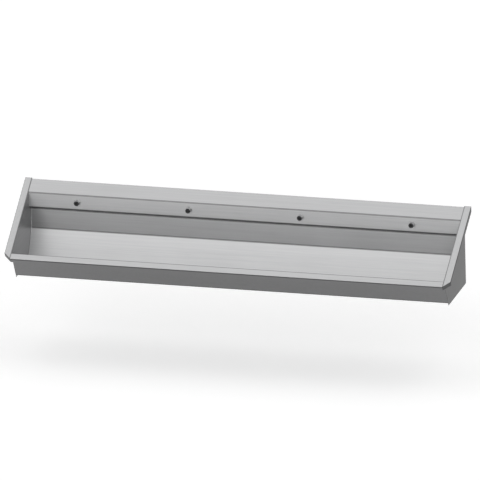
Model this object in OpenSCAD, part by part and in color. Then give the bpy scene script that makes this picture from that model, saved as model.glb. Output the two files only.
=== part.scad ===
// Wall-hung wash trough, folded from stainless steel sheet. The top slopes down to the front,
// two flanged end panels close the ends, and a raised panel at the back carries four short
// water outlets, fed by a pipe behind it. Everything hangs on a rail on the wall.
//
// Millimetres. X runs along the trough, -Y faces the user and +Z is up. The wall is the plane
// y = 0. The origin is the middle of the wall fixing holes. Heights in the sections below are
// counted from the foot of the end panels, and depths from the wall.

/* [Trough] */
// Overall length, over the two end flanges
trough_l = 2400; // [2360:20:2800]
// Height of the sloping plane at the wall
trough_h = 425; // [415:5:440]
// Slope of the flanges and the rim, from the horizontal
slope_deg = 30; // [28:1:31]
// Length down the slope, from the wall to the outer edge of the rim
slope_l = 562.5; // [550:2.5:580]
// Width of the end flanges and of the front rim
flange_w = 38; // [34:1:44]
// Depth of the turned-down lip round flanges and rim
lip_d = 27; // [20:1:32]
// Thickness of the stainless sheet
sheet = 1.5; // [1.2:0.1:2]
// Inner radius of every fold
bend_r = 1.5; // [1:0.5:2.5]

/* [Bowl] */
// Height of the flat bottom
bottom_z = 15; // [12:1:20]
// Depth of the upright back of the bowl
back_gap = 39; // [36:1:44]
// Height at which the upright back turns into the inner slope
back_foot_z = 164; // [150:2:170]
// Steepness of the inner slope, from the horizontal
inner_deg = 60; // [56:1:64]

/* [Tap panel] */
// Depth of the panel's face
panel_gap = 84; // [80:1:90]
// Height of the panel's face
panel_h = 80; // [76:1:84]
// Drop of the band above the panel, below the plane of the flanges
band_drop = 3; // [2:0.5:5]
// Fall of the return under the panel, on its way back to the bowl
return_drop = 22; // [18:1:24]
// Height of the flange turned up where the return meets the bowl
joint_h = 18; // [12:1:20]
// Height of the flange turned down against the wall
wall_flange_h = 30; // [24:1:32]

/* [Water outlets] */
// Distance from one outlet to the next
outlet_pitch = 600; // [560:10:600]
// Outer diameter of an outlet tube
outlet_d = 28; // [26:1:30]
// Reach of an outlet in front of the panel
outlet_reach = 20; // [15:1:25]
// Diameter of the thread that takes the jet insert
insert_d = 24; // [22:0.5:24]

/* [Supply pipe] */
// Outer diameter of the supply pipe
pipe_d = 22; // [18:1:22]
// Wall of the supply pipe
pipe_wall = 1.2; // [1:0.1:1.5]
// Depth of the supply pipe's axis
pipe_gap = 19; // [17:1:20]
// Outer diameter of the inlet thread
inlet_d = 26.4; // [24:0.2:28]

/* [Wall fixing] */
// Height of the lower row of holes
fix_low_z = 58; // [50:1:70]
// Distance from the lower row up to the row in the rail
fix_rise = 300; // [298:1:302]
// Diameter of a fixing hole
fix_d = 9; // [7:0.5:10]
// Thickness of the wall rail and of the hook that hangs on it
rail_t = 2; // [1.5:0.5:2.5]
// Thickness of a support bracket
bracket_t = 3; // [2:0.5:4]
// Width of a support bracket's flanges
bracket_w = 40; // [36:1:50]

/* [Waste] */
// Depth of the waste's axis
waste_gap = 180; // [180:1:220]
// Diameter of the hole in the bowl
waste_hole_d = 58; // [54:1:60]
// Outer diameter of the outlet thread
waste_thread_d = 47.8; // [40:0.2:48]
// Length of the outlet thread
waste_thread_l = 22; // [16:1:24]

/* [Hidden] */

$fn = 64;
HEX = 6;
BEND_STEPS = 6;
OUTLETS = 4;
FAR = 1000;
EPS = 0.5;

STEEL = "gainsboro";
STEEL_DARK = "darkgray";
ZINC = "lightsteelblue";
BRASS = "burlywood";
RUBBER = "dimgray";
PLASTIC = "darkslategray";

// Main places, worked out from the driving sizes
origin_z = fix_low_z + fix_rise / 2;
inner_x = trough_l / 2 - flange_w;
flange_x = inner_x + flange_w;
rim_u = slope_l - flange_w;
corner_deg = 45;
mitre_run = flange_w * tan(corner_deg / 2);
front_wall_l = (trough_h - rim_u * sin(slope_deg) - bottom_z) / cos(slope_deg);
band_z = trough_h - band_drop;
panel_top_z = band_z - panel_gap * tan(slope_deg);
panel_foot_z = panel_top_z - panel_h;
return_z = panel_foot_z - return_drop;
outlet_z = panel_foot_z + panel_h / 2;
panel_back = panel_gap - sheet;
bowl_back = back_gap - sheet;
// The bowl's upright back stands this much higher than the joint flange on it
joint_margin = 2;
// Straight sheet left beyond a fold where it runs into the web of an end panel
fold_lead = 3 * bend_r + sheet;

// Stack behind the panel: gasket, outlet flange, stud nuts and union, as depths from the wall
gasket_t = 2;
outlet_flange_t = 4;
outlet_flange_back = panel_back - gasket_t - outlet_flange_t;
outlet_flange_w = 64;
outlet_flange_h = 32;
outlet_flange_r = 6;
stud_x = 24;
stud_d = 5;
stud_l = 15;
stud_nut_af = 8;
stud_nut_t = 4;
shank_d = 21;
shank_back = 52;
union_af = 30;
union_front = 62;
union_back = 44;
union_web = 3;
washer_t = 1.5;
nipple_d = 18;
nipple_bore_d = 14;
nipple_collar_t = 3;
part_gap = 0.1;

// Front end of an outlet, and the spigot that centres it in the panel
spigot_d = outlet_d + 2;
bore_d = 16;
insert_depth = 10;
insert_recess = 1.5;
insert_t = 5;

// Supply pipe
pipe_end_l = 45;
pipe_left_x = -outlet_pitch * (OUTLETS - 1) / 2 - pipe_end_l;
drop_inset = 62;
drop_x = inner_x - drop_inset;
elbow_bend_r = 26;
elbow_t = 1.6;
socket_t = 2.5;
socket_l = 16;
cap_l = 18;
cap_end_t = 3;
drop_foot_z = 46;
adaptor_hex_af = 32;
adaptor_hex_h = 10;
adaptor_thread_l = 18;

// Rails: the wall rail's sheet below and above its row of holes, and the hook strip's joggle
// that clears the wall flange's foot
rail_below = 15;
rail_above = 16;
rail_foot_z = fix_low_z + fix_rise - rail_below;
rail_step_z = fix_low_z + fix_rise + rail_above;
rail_step = 10;
rail_hook_h = 20;
rail_inset = 52;
rail_half_l = inner_x - rail_inset;
hook_inset = 6;
hook_top_z = band_z - hook_inset;
hook_joggle_gap = 3;
hook_joggle_z = band_z - wall_flange_h + hook_joggle_gap;
hook_joggle = 3;
hook_joggle_h = 6;

// Support brackets and the back flanges of the end panels
bracket_foot_z = 30;
bracket_top_gap = 8;
bracket_top_z = return_z - bracket_top_gap;
panel_flange_w = 30;
panel_flange_top_z = 380;

// Waste
dish_d = 94;
dish_depth = 4;
dish_run = 5;
seat_z = bottom_z - dish_depth;
strainer_d = 82;
strainer_t = 1.2;
strainer_cup_d = 54;
strainer_cup_h = 13;
// Rings of holes: how many, and on what radius
strainer_rings = [[6, 11], [12, 20]];
strainer_hole_d = 5;
seal_t = 1.5;
seal_d = 80;
seal_lower_t = 3;
seal_lower_d = 78;
waste_body_d = 78;
waste_wall = 3;
waste_cup_h = 18;
waste_taper_h = 6;
waste_boss_d = 14;
waste_boss_root = 2;
waste_rib_t = 3;
waste_screw_d = 6;
waste_screw_l = 16;
waste_screw_head_d = 13;
waste_screw_head_t = 3;
waste_slot_w = 1.6;

// Earth tag
tag_inset = 110;
tag_x = inner_x - tag_inset;
tag_gap = 160;
tag_w = 22;
tag_h = 20;
tag_t = 2;
tag_hole_d = 6.4;
tag_screw_d = 6;
tag_screw_af = 10;
tag_head_t = 4;
tag_nut_t = 5;
tag_screw_l = 16;

// Damping pads
pad_t = 3;
pad_l = 420;
pad_slope_w = 70;
pad_bottom_w = 110;
pad_dish_gap = 20;

// ---- Folded sheet ----

// Unit vector along v
function unit(v) = v / norm(v);

// v turned a quarter turn to the left
function left_of(v) = [-v[1], v[0]];

// v turned by an angle
function turned(v, a) = [v[0] * cos(a) - v[1] * sin(a), v[0] * sin(a) + v[1] * cos(a)];

// Signed angle from direction a to direction b, positive to the left
function turn_angle(a, b) = atan2(a[0] * b[1] - a[1] * b[0], a * b);

// Radius of the drawn face in a fold: thickness on the inner side makes it the outer radius
function face_r(turn, side, t) = turn == side ? bend_r + t : bend_r;

// One fold of the face that lies d to the left of the drawn path
function fold_points(p, a, b, side, t, d) =
    let (
        angle = turn_angle(a, b),
        turn = sign(angle),
        r = face_r(turn, side, t),
        centre = p - a * r * tan(abs(angle) / 2) + turn * r * left_of(a)
    )
    [for (k = [0:BEND_STEPS])
        centre - (turn * r - d) * turned(left_of(a), angle * k / BEND_STEPS)];

// The face that lies d to the left of the drawn path, with a fold at each inner point
function face_points(path, side, t, d) =
    let (last = len(path) - 1)
    concat(
        [path[0] + d * left_of(unit(path[1] - path[0]))],
        [for (i = [1:last - 1])
            each fold_points(
                path[i], unit(path[i] - path[i - 1]), unit(path[i + 1] - path[i]), side, t, d)],
        [path[last] + d * left_of(unit(path[last] - path[last - 1]))]
    );

function reversed(list) = [for (i = [len(list) - 1:-1:0]) list[i]];

// Section through a folded sheet. The path is its visible face, and the thickness lies on
// its left (side 1) or on its right (side -1).
module folded(path, side = 1, t = sheet) {
    polygon(concat(face_points(path, side, t, 0), reversed(face_points(path, side, t, side * t))));
}

// ---- Placing ----

// Heights from the foot of the end panels become heights from the origin
module from_foot() {
    translate([0, 0, -origin_z])
    children();
}

// A section drawn as [y, z] becomes a solid from x0 to x1
module along_x(x0, x1) {
    translate([x0, 0, 0])
    rotate([90, 0, 90])
    linear_extrude(x1 - x0)
    children();
}

// The sloping plane: local -Y runs down the slope, and local Z stands out of it
module on_slope_plane() {
    translate([0, 0, trough_h])
    rotate([slope_deg, 0, 0])
    children();
}

// [y, z] of the point that is u down the slope and n over it
function on_slope(u, n) = [
    -u * cos(slope_deg) - n * sin(slope_deg),
    trough_h - u * sin(slope_deg) + n * cos(slope_deg)
];

// Outlet number i, counted from 0 at the left
function station_x(i) = (i - (OUTLETS - 1) / 2) * outlet_pitch;

module at_station(i) {
    translate([station_x(i), 0, outlet_z])
    children();
}

// Round bar that runs towards the user, between two depths
module rod(d, gap_0, gap_1) {
    translate([0, -gap_0, 0])
    rotate([90, 0, 0])
    cylinder(d = d, h = gap_1 - gap_0);
}

// Hexagon bar that runs towards the user, between two depths
module hex_rod(af, gap_0, gap_1) {
    translate([0, -gap_0, 0])
    rotate([90, 0, 0])
    cylinder(d = af / cos(180 / HEX), h = gap_1 - gap_0, $fn = HEX);
}

// ---- Trough ----

bowl_path = [
    [-back_gap, return_z + joint_h + joint_margin],
    [-back_gap, back_foot_z],
    [-back_gap - (back_foot_z - bottom_z) / tan(inner_deg), bottom_z],
    on_slope(rim_u, -front_wall_l),
    on_slope(rim_u, 0),
    on_slope(slope_l, 0),
    on_slope(slope_l, -lip_d)
];

// Shallow pressed seat round the waste hole, turned about the waste's axis
module waste_seat() {
    rim_r = dish_d / 2;
    rotate_extrude()
    polygon([
        [waste_hole_d / 2, seat_z],
        [rim_r - dish_run, seat_z],
        [rim_r, bottom_z],
        [rim_r + EPS, bottom_z],
        [rim_r + EPS, bottom_z - sheet],
        [rim_r, bottom_z - sheet],
        [rim_r - dish_run, seat_z - sheet],
        [waste_hole_d / 2, seat_z - sheet]
    ]);
}

// Bowl: upright back, inner slope, bottom, front wall, rim and lip in one folded sheet
module bowl() {
    color(STEEL)
    from_foot()
    union() {
        difference() {
            along_x(-inner_x, inner_x)
            folded(bowl_path);
            translate([0, -waste_gap, 0])
            cylinder(d = dish_d, h = bottom_z + EPS);
        }
        translate([0, -waste_gap, 0])
        waste_seat();
    }
}

// Tap panel: wall flange, sloping band, face, return and joint flange in one folded sheet
module tap_panel() {
    color(STEEL)
    from_foot()
    difference() {
        along_x(-inner_x, inner_x)
        folded([
            [0, band_z - wall_flange_h],
            [0, band_z],
            [-panel_gap, panel_top_z],
            [-panel_gap, panel_foot_z],
            [-back_gap, return_z],
            [-back_gap, return_z + joint_h]
        ]);
        for (i = [0:OUTLETS - 1])
            at_station(i)
            rod(spigot_d + 2 * part_gap, panel_back - EPS, panel_gap + EPS);
    }
}

// ---- End panels ----

// Straight flange with its lip, cut square at the wall and mitred at the front corner
module side_flange() {
    intersection() {
        on_slope_plane()
        rotate([90, 0, 0])
        linear_extrude(slope_l)
        folded([
            [inner_x, -fold_lead],
            [inner_x, 0],
            [flange_x, 0],
            [flange_x, -lip_d]
        ], -1);
        on_slope_plane()
        linear_extrude(2 * FAR, center = true)
        polygon([
            [inner_x - EPS, EPS],
            [inner_x - EPS, -rim_u + mitre_run + EPS * tan(corner_deg / 2)],
            [flange_x + EPS, -rim_u - EPS * tan(corner_deg / 2)],
            [flange_x + EPS, EPS]
        ]);
        translate([0, -FAR, 0])
        cube([2 * FAR, FAR, FAR]);
    }
}

// Corner cut off at an angle, with a lip of its own, and drawn longer than the outline that trims it
module corner_flange() {
    cut_l = flange_w / cos(corner_deg);
    intersection() {
        on_slope_plane()
        translate([flange_x, -rim_u, 0])
        rotate([0, 0, -corner_deg])
        translate([0, flange_w, 0])
        rotate([90, 0, 0])
        linear_extrude(cut_l + 2 * flange_w)
        folded([[-cut_l, 0], [0, 0], [0, -lip_d]], -1);
        on_slope_plane()
        linear_extrude(2 * FAR, center = true)
        polygon([
            [inner_x, -rim_u + mitre_run],
            [flange_x, -rim_u],
            [flange_x + EPS, -rim_u - EPS * tan(corner_deg / 2)],
            [flange_x + EPS, -slope_l - EPS],
            [inner_x, -slope_l - EPS]
        ]);
    }
}

// Upright web of an end panel
module end_web() {
    web_top = -bend_r - sheet;
    corner_u = rim_u - mitre_run;
    along_x(inner_x, inner_x + sheet)
    polygon([
        [-bend_r - sheet, 0],
        [-bend_r - sheet, panel_flange_top_z],
        [0, panel_flange_top_z],
        [0, trough_h + web_top / cos(slope_deg)],
        on_slope(corner_u, web_top),
        on_slope(corner_u, -sheet),
        on_slope(rim_u + sheet, -sheet),
        on_slope(rim_u + sheet, -(trough_h - (rim_u + sheet) * sin(slope_deg)) / cos(slope_deg))
    ]);
}

// Flange turned in against the wall, with one fixing hole
module end_wall_flange() {
    difference() {
        linear_extrude(panel_flange_top_z)
        folded([
            [inner_x + sheet, -fold_lead],
            [inner_x + sheet, 0],
            [inner_x - panel_flange_w, 0]
        ]);
        translate([inner_x - panel_flange_w / 2, 0, fix_low_z])
        rod(fix_d, -EPS, sheet + EPS);
    }
}

// End panel of the right-hand end
module end_panel() {
    color(STEEL)
    from_foot()
    union() {
        end_web();
        end_wall_flange();
        side_flange();
        corner_flange();
    }
}

module end_panel_right() {
    end_panel();
}

module end_panel_left() {
    mirror([1, 0, 0])
    end_panel();
}

// ---- Water outlets ----

// Oblong flange behind the tap panel, drawn about the outlet's axis
module oblong(w, h, r) {
    square([w - 2 * r, h], center = true);
    square([w, h - 2 * r], center = true);
    for (x = [-1, 1], y = [-1, 1])
        translate([x * (w / 2 - r), y * (h / 2 - r)])
        circle(r = r);
}

// Plate of the oblong outline, between two depths, with holes for the studs
module oblong_plate(gap_0, gap_1) {
    translate([0, -gap_0, 0])
    rotate([90, 0, 0])
    linear_extrude(gap_1 - gap_0)
    difference() {
        oblong(outlet_flange_w, outlet_flange_h, outlet_flange_r);
        for (x = [-stud_x, stud_x])
            translate([x, 0])
            circle(d = stud_d + 2 * part_gap);
    }
}

// Outlet body: tube in front of the panel, spigot through it, flange behind it and shank
module outlet(i) {
    mouth = panel_gap + outlet_reach;
    color(STEEL_DARK)
    from_foot()
    at_station(i)
    difference() {
        union() {
            rod(outlet_d, panel_gap, mouth);
            rod(spigot_d, outlet_flange_back, panel_gap);
            oblong_plate(outlet_flange_back, outlet_flange_back + outlet_flange_t);
            rod(shank_d, shank_back, outlet_flange_back);
        }
        rod(bore_d, shank_back - EPS, mouth + EPS);
        rod(insert_d, mouth - insert_depth, mouth + EPS);
    }
}

// Jet insert: ring and cross bars that straighten the water
module jet_insert(i) {
    front = panel_gap + outlet_reach - insert_recess;
    ring_t = 2;
    bar_t = 1.2;
    bar_pitch = insert_d / 6;
    color(PLASTIC)
    from_foot()
    at_station(i)
    union() {
        difference() {
            rod(insert_d - 2 * part_gap, front - insert_t, front);
            rod(insert_d - 2 * ring_t, front - insert_t - EPS, front + EPS);
        }
        intersection() {
            rod(insert_d - ring_t, front - insert_t, front - EPS);
            for (k = [-2:2]) {
                translate([k * bar_pitch, 0, 0])
                cube([bar_t, FAR, insert_d], center = true);
                translate([0, 0, k * bar_pitch])
                cube([insert_d, FAR, bar_t], center = true);
            }
        }
    }
}

module outlet_gasket(i) {
    color(RUBBER)
    from_foot()
    at_station(i)
    difference() {
        oblong_plate(panel_back - gasket_t, panel_back);
        rod(spigot_d + 2 * part_gap, panel_back - gasket_t - EPS, panel_back + EPS);
    }
}

// Two studs a station, welded to the back of the tap panel
module weld_studs() {
    color(STEEL_DARK)
    from_foot()
    for (i = [0:OUTLETS - 1], x = [-stud_x, stud_x])
        at_station(i)
        translate([x, 0, 0])
        rod(stud_d, panel_back - stud_l, panel_back);
}

module stud_nuts() {
    color(ZINC)
    from_foot()
    for (i = [0:OUTLETS - 1], x = [-stud_x, stud_x])
        at_station(i)
        translate([x, 0, 0])
        difference() {
            hex_rod(stud_nut_af, outlet_flange_back - stud_nut_t, outlet_flange_back);
            rod(stud_d, outlet_flange_back - stud_nut_t - EPS, outlet_flange_back + EPS);
        }
}

// ---- Supply ----

// Union nut that pulls a branch nipple onto an outlet's shank
module union_nut(i) {
    color(BRASS)
    from_foot()
    at_station(i)
    difference() {
        hex_rod(union_af, union_back, union_front);
        rod(shank_d + 2 * part_gap, union_back + union_web, union_front + EPS);
        rod(nipple_d + 2 * part_gap, union_back - EPS, union_back + union_web + EPS);
    }
}

// Branch nipple: short pipe saddled onto the supply pipe, with a collar under the union nut
module branch_nipple(i) {
    front = shank_back - washer_t;
    color(BRASS)
    from_foot()
    at_station(i)
    difference() {
        union() {
            rod(nipple_d, pipe_gap, front);
            rod(shank_d, front - nipple_collar_t, front);
        }
        rod(nipple_bore_d, pipe_gap - EPS, front + EPS);
        translate([0, -pipe_gap, 0])
        rotate([0, 90, 0])
        cylinder(d = pipe_d, h = outlet_flange_w, center = true);
    }
}

// Fibre washers between the nipples and the shanks
module union_washers() {
    color(RUBBER)
    from_foot()
    for (i = [0:OUTLETS - 1])
        at_station(i)
        difference() {
            rod(shank_d, shank_back - washer_t, shank_back);
            rod(bore_d, shank_back - washer_t - EPS, shank_back + EPS);
        }
}

// Supply pipe along the back of the panel, with a hole at each branch
module supply_pipe() {
    color(STEEL_DARK)
    from_foot()
    difference() {
        translate([pipe_left_x, -pipe_gap, outlet_z])
        rotate([0, 90, 0])
        difference() {
            cylinder(d = pipe_d, h = drop_x - elbow_bend_r - pipe_left_x);
            translate([0, 0, -EPS])
            cylinder(d = pipe_d - 2 * pipe_wall, h = drop_x - elbow_bend_r - pipe_left_x + 2 * EPS);
        }
        for (i = [0:OUTLETS - 1])
            at_station(i)
            rod(nipple_bore_d, pipe_gap, pipe_gap + pipe_d);
    }
}

// Cap on the closed end of the supply pipe
module pipe_cap() {
    color(STEEL_DARK)
    from_foot()
    translate([pipe_left_x - cap_end_t, -pipe_gap, outlet_z])
    rotate([0, 90, 0])
    difference() {
        cylinder(d = pipe_d + 2 * socket_t, h = cap_l);
        translate([0, 0, cap_end_t])
        cylinder(d = pipe_d, h = cap_l);
    }
}

// Elbow from the supply pipe down into the drop pipe, with a socket at each end
module inlet_elbow() {
    socket_d = pipe_d + 2 * socket_t;
    color(STEEL_DARK)
    from_foot()
    translate([drop_x - elbow_bend_r, -pipe_gap, outlet_z - elbow_bend_r])
    rotate([90, 0, 0])
    difference() {
        union() {
            rotate_extrude(angle = 90)
            translate([elbow_bend_r, 0])
            circle(d = pipe_d + 2 * elbow_t);
            translate([0, elbow_bend_r, 0])
            rotate([0, -90, 0])
            cylinder(d = socket_d, h = socket_l);
            translate([elbow_bend_r, 0, 0])
            rotate([90, 0, 0])
            cylinder(d = socket_d, h = socket_l);
        }
        rotate_extrude(angle = 90)
        translate([elbow_bend_r, 0])
        circle(d = pipe_d - 2 * pipe_wall);
        translate([0, elbow_bend_r, 0])
        rotate([0, -90, 0])
        cylinder(d = pipe_d, h = socket_l + EPS);
        translate([elbow_bend_r, 0, 0])
        rotate([90, 0, 0])
        cylinder(d = pipe_d, h = socket_l + EPS);
    }
}

// Drop pipe behind the bowl
module drop_pipe() {
    drop_l = outlet_z - elbow_bend_r - drop_foot_z;
    color(STEEL_DARK)
    from_foot()
    translate([drop_x, -pipe_gap, drop_foot_z])
    difference() {
        cylinder(d = pipe_d, h = drop_l);
        translate([0, 0, -EPS])
        cylinder(d = pipe_d - 2 * pipe_wall, h = drop_l + 2 * EPS);
    }
}

// Inlet adaptor: socket, hexagon and outside thread
module inlet_adaptor() {
    color(BRASS)
    from_foot()
    translate([drop_x, -pipe_gap, drop_foot_z])
    difference() {
        union() {
            cylinder(d = pipe_d + 2 * socket_t, h = socket_l);
            translate([0, 0, -adaptor_hex_h])
            cylinder(d = adaptor_hex_af / cos(180 / HEX), h = adaptor_hex_h, $fn = HEX);
            translate([0, 0, -adaptor_hex_h - adaptor_thread_l])
            cylinder(d = inlet_d, h = adaptor_thread_l);
        }
        cylinder(d = pipe_d, h = socket_l + EPS);
        translate([0, 0, -adaptor_hex_h - adaptor_thread_l - EPS])
        cylinder(d = bore_d, h = adaptor_hex_h + adaptor_thread_l + 2 * EPS);
    }
}

// ---- Wall fixing ----

// Rail on the wall: base with the fixing holes, step and upright hook edge
module wall_rail() {
    color(ZINC)
    from_foot()
    difference() {
        along_x(-rail_half_l, rail_half_l)
        folded([
            [0, rail_foot_z],
            [0, rail_step_z],
            [-rail_step, rail_step_z],
            [-rail_step, rail_step_z + rail_hook_h]
        ], 1, rail_t);
        for (i = [0:OUTLETS - 1])
            translate([station_x(i), 0, fix_low_z + fix_rise])
            rod(fix_d, -EPS, rail_t + EPS);
    }
}

// Hook strip on the wall flange of the tap panel: its foot stands on the rail's step
module hook_rail() {
    color(ZINC)
    from_foot()
    along_x(-rail_half_l, rail_half_l)
    folded([
        [-sheet, hook_top_z],
        [-sheet, hook_joggle_z],
        [-sheet - hook_joggle, hook_joggle_z - hook_joggle_h],
        [-sheet - hook_joggle, rail_step_z]
    ], -1, rail_t);
}

// Depth of the hidden face of the inner slope at height z
function slope_back(z) =
    back_gap + (back_foot_z - z) / tan(inner_deg) - sheet / sin(inner_deg);

// Height at which the hidden faces of the upright back and of the inner slope meet
slope_top_z = back_foot_z - (sheet / sin(inner_deg) - sheet) * tan(inner_deg);

// Support bracket: pressed channel between the wall and the back of the bowl
module support_bracket(i) {
    skin = bracket_t / sin(inner_deg);
    color(ZINC)
    from_foot()
    translate([station_x(i), 0, 0])
    difference() {
        union() {
            along_x(-bracket_w / 2, -bracket_w / 2 + bracket_t)
            polygon([
                [0, bracket_foot_z],
                [-slope_back(bracket_foot_z), bracket_foot_z],
                [-slope_back(slope_top_z), slope_top_z],
                [-bowl_back, bracket_top_z],
                [0, bracket_top_z]
            ]);
            along_x(-bracket_w / 2, bracket_w / 2)
            polygon([
                [0, bracket_foot_z],
                [-bracket_t, bracket_foot_z],
                [-bracket_t, bracket_top_z],
                [0, bracket_top_z]
            ]);
            along_x(-bracket_w / 2, bracket_w / 2)
            polygon([
                [-slope_back(bracket_foot_z), bracket_foot_z],
                [-slope_back(slope_top_z), slope_top_z],
                [-bowl_back, bracket_top_z],
                [-bowl_back + bracket_t, bracket_top_z],
                [-slope_back(slope_top_z) + bracket_t, slope_top_z],
                [-slope_back(bracket_foot_z) + skin, bracket_foot_z]
            ]);
        }
        translate([0, 0, fix_low_z])
        rod(fix_d, -EPS, bracket_t + EPS);
    }
}

// ---- Waste ----

module at_waste() {
    translate([0, -waste_gap, 0])
    children();
}

// Strainer: flange in the seat, cup and pierced floor
module waste_strainer() {
    flange_z = seat_z + seal_t;
    floor_z = flange_z - strainer_cup_h;
    color(STEEL)
    from_foot()
    at_waste()
    difference() {
        rotate_extrude()
        polygon([
            [0, floor_z],
            [strainer_cup_d / 2, floor_z],
            [strainer_cup_d / 2, flange_z],
            [strainer_d / 2, flange_z],
            [strainer_d / 2, flange_z + strainer_t],
            [strainer_cup_d / 2 - strainer_t, flange_z + strainer_t],
            [strainer_cup_d / 2 - strainer_t, floor_z + strainer_t],
            [0, floor_z + strainer_t]
        ]);
        for (ring = strainer_rings, k = [0:ring[0] - 1])
            rotate([0, 0, 360 * k / ring[0]])
            translate([ring[1], 0, floor_z - EPS])
            cylinder(d = strainer_hole_d, h = strainer_t + 2 * EPS);
        translate([0, 0, floor_z - EPS])
        cylinder(d = waste_screw_d + 2 * part_gap, h = strainer_t + 2 * EPS);
    }
}

module ring(outer_d, inner_d, z, h) {
    translate([0, 0, z])
    difference() {
        cylinder(d = outer_d, h = h);
        translate([0, 0, -EPS])
        cylinder(d = inner_d, h = h + 2 * EPS);
    }
}

module waste_seal_upper() {
    color(RUBBER)
    from_foot()
    at_waste()
    ring(seal_d, waste_hole_d, seat_z, seal_t);
}

module waste_seal_lower() {
    color(RUBBER)
    from_foot()
    at_waste()
    ring(seal_lower_d, waste_hole_d, seat_z - sheet - seal_lower_t, seal_lower_t);
}

// Waste body: flange and cup under the bowl, threaded outlet, and a boss on ribs for the screw
module waste_body() {
    top_z = seat_z - sheet - seal_lower_t;
    cup_z = top_z - waste_cup_h;
    neck_z = cup_z - waste_taper_h;
    boss_foot_z = cup_z - waste_boss_root;
    thread_r = waste_thread_d / 2;
    cup_r = waste_hole_d / 2;
    boss_top_z = seat_z + seal_t - strainer_cup_h;
    color(PLASTIC)
    from_foot()
    at_waste()
    difference() {
        union() {
            rotate_extrude()
            polygon([
                [cup_r, top_z],
                [waste_body_d / 2, top_z],
                [waste_body_d / 2, top_z - 2 * waste_wall],
                [cup_r + waste_wall, top_z - 2 * waste_wall],
                [cup_r + waste_wall, cup_z],
                [thread_r, neck_z],
                [thread_r, neck_z - waste_thread_l],
                [thread_r - waste_wall, neck_z - waste_thread_l],
                [thread_r - waste_wall, neck_z],
                [cup_r, cup_z]
            ]);
            translate([0, 0, boss_foot_z])
            cylinder(d = waste_boss_d, h = boss_top_z - boss_foot_z);
            for (a = [0:90:270])
                rotate([0, 0, a])
                translate([0, -waste_rib_t / 2, cup_z])
                cube([cup_r + EPS, waste_rib_t, waste_cup_h / 2]);
        }
        translate([0, 0, boss_foot_z - EPS])
        cylinder(d = waste_screw_d, h = FAR);
    }
}

module waste_screw() {
    head_z = seat_z + seal_t - strainer_cup_h + strainer_t;
    color(STEEL_DARK)
    from_foot()
    at_waste()
    difference() {
        union() {
            translate([0, 0, head_z])
            cylinder(d = waste_screw_head_d, h = waste_screw_head_t);
            translate([0, 0, head_z - waste_screw_l])
            cylinder(d = waste_screw_d, h = waste_screw_l + EPS);
        }
        translate([0, 0, head_z + waste_screw_head_t])
        cube([waste_screw_head_d + EPS, waste_slot_w, waste_screw_head_t], center = true);
    }
}

// ---- Earth tag and damping ----

// Tag welded under the bowl bottom
module earth_tag() {
    color(STEEL)
    from_foot()
    translate([tag_x, -tag_gap, bottom_z - sheet])
    difference() {
        rotate([90, 0, 90])
        linear_extrude(tag_w, center = true)
        folded([[-tag_w / 2, 0], [0, 0], [0, -tag_h]], -1, tag_t);
        translate([0, 0, -tag_h / 2 - tag_t])
        rod(tag_hole_d, -EPS, tag_t + EPS);
    }
}

module earth_screw() {
    color(ZINC)
    from_foot()
    translate([tag_x, -tag_gap, bottom_z - sheet - tag_h / 2 - tag_t])
    union() {
        hex_rod(tag_screw_af, -tag_head_t, 0);
        rod(tag_screw_d, -EPS, tag_screw_l);
    }
}

module earth_nut() {
    color(ZINC)
    from_foot()
    translate([tag_x, -tag_gap, bottom_z - sheet - tag_h / 2 - tag_t])
    difference() {
        hex_rod(tag_screw_af, tag_t, tag_t + tag_nut_t);
        rod(tag_screw_d, tag_t - EPS, tag_t + tag_nut_t + EPS);
    }
}

// Damping pads glued to the hidden side of the inner slope and of the bottom
module damping_pads() {
    slope_mid_z = (back_foot_z + bottom_z) / 2;
    bottom_mid = waste_gap + dish_d / 2 + pad_bottom_w / 2 + pad_dish_gap;
    color(RUBBER)
    from_foot()
    for (x = [-outlet_pitch, 0, outlet_pitch]) {
        translate([x, -slope_back(slope_mid_z), slope_mid_z])
        rotate([inner_deg - 90, 0, 0])
        translate([0, pad_t / 2, 0])
        cube([pad_l, pad_t, pad_slope_w], center = true);
        translate([x, -bottom_mid, bottom_z - sheet - pad_t / 2])
        cube([pad_l, pad_bottom_w, pad_t], center = true);
    }
}

bowl();
tap_panel();
end_panel_left();
end_panel_right();
outlet(0);  // outlet_1
outlet(1);  // outlet_2
outlet(2);  // outlet_3
outlet(3);  // outlet_4
jet_insert(0);  // jet_insert_1
jet_insert(1);  // jet_insert_2
jet_insert(2);  // jet_insert_3
jet_insert(3);  // jet_insert_4
outlet_gasket(0);  // outlet_gasket_1
outlet_gasket(1);  // outlet_gasket_2
outlet_gasket(2);  // outlet_gasket_3
outlet_gasket(3);  // outlet_gasket_4
weld_studs();
stud_nuts();
union_nut(0);  // union_nut_1
union_nut(1);  // union_nut_2
union_nut(2);  // union_nut_3
union_nut(3);  // union_nut_4
branch_nipple(0);  // branch_nipple_1
branch_nipple(1);  // branch_nipple_2
branch_nipple(2);  // branch_nipple_3
branch_nipple(3);  // branch_nipple_4
union_washers();
supply_pipe();
pipe_cap();
inlet_elbow();
drop_pipe();
inlet_adaptor();
wall_rail();
hook_rail();
support_bracket(0);  // support_bracket_1
support_bracket(1);  // support_bracket_2
support_bracket(2);  // support_bracket_3
support_bracket(3);  // support_bracket_4
waste_strainer();
waste_seal_upper();
waste_seal_lower();
waste_body();
waste_screw();
earth_tag();
earth_screw();
earth_nut();
damping_pads();
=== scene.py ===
"""Looks of the wall-hung wash trough: finishes, seams, threads and a plain studio, built
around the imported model. Metres, in the model's own frame: X along the trough, -Y towards
the user, +Z up, and the wall is the plane y = 0."""

import math
from functools import cached_property

import bmesh
import bpy
from bpy.props import FloatProperty, FloatVectorProperty, PointerProperty
from mathutils import Matrix, Vector


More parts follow.
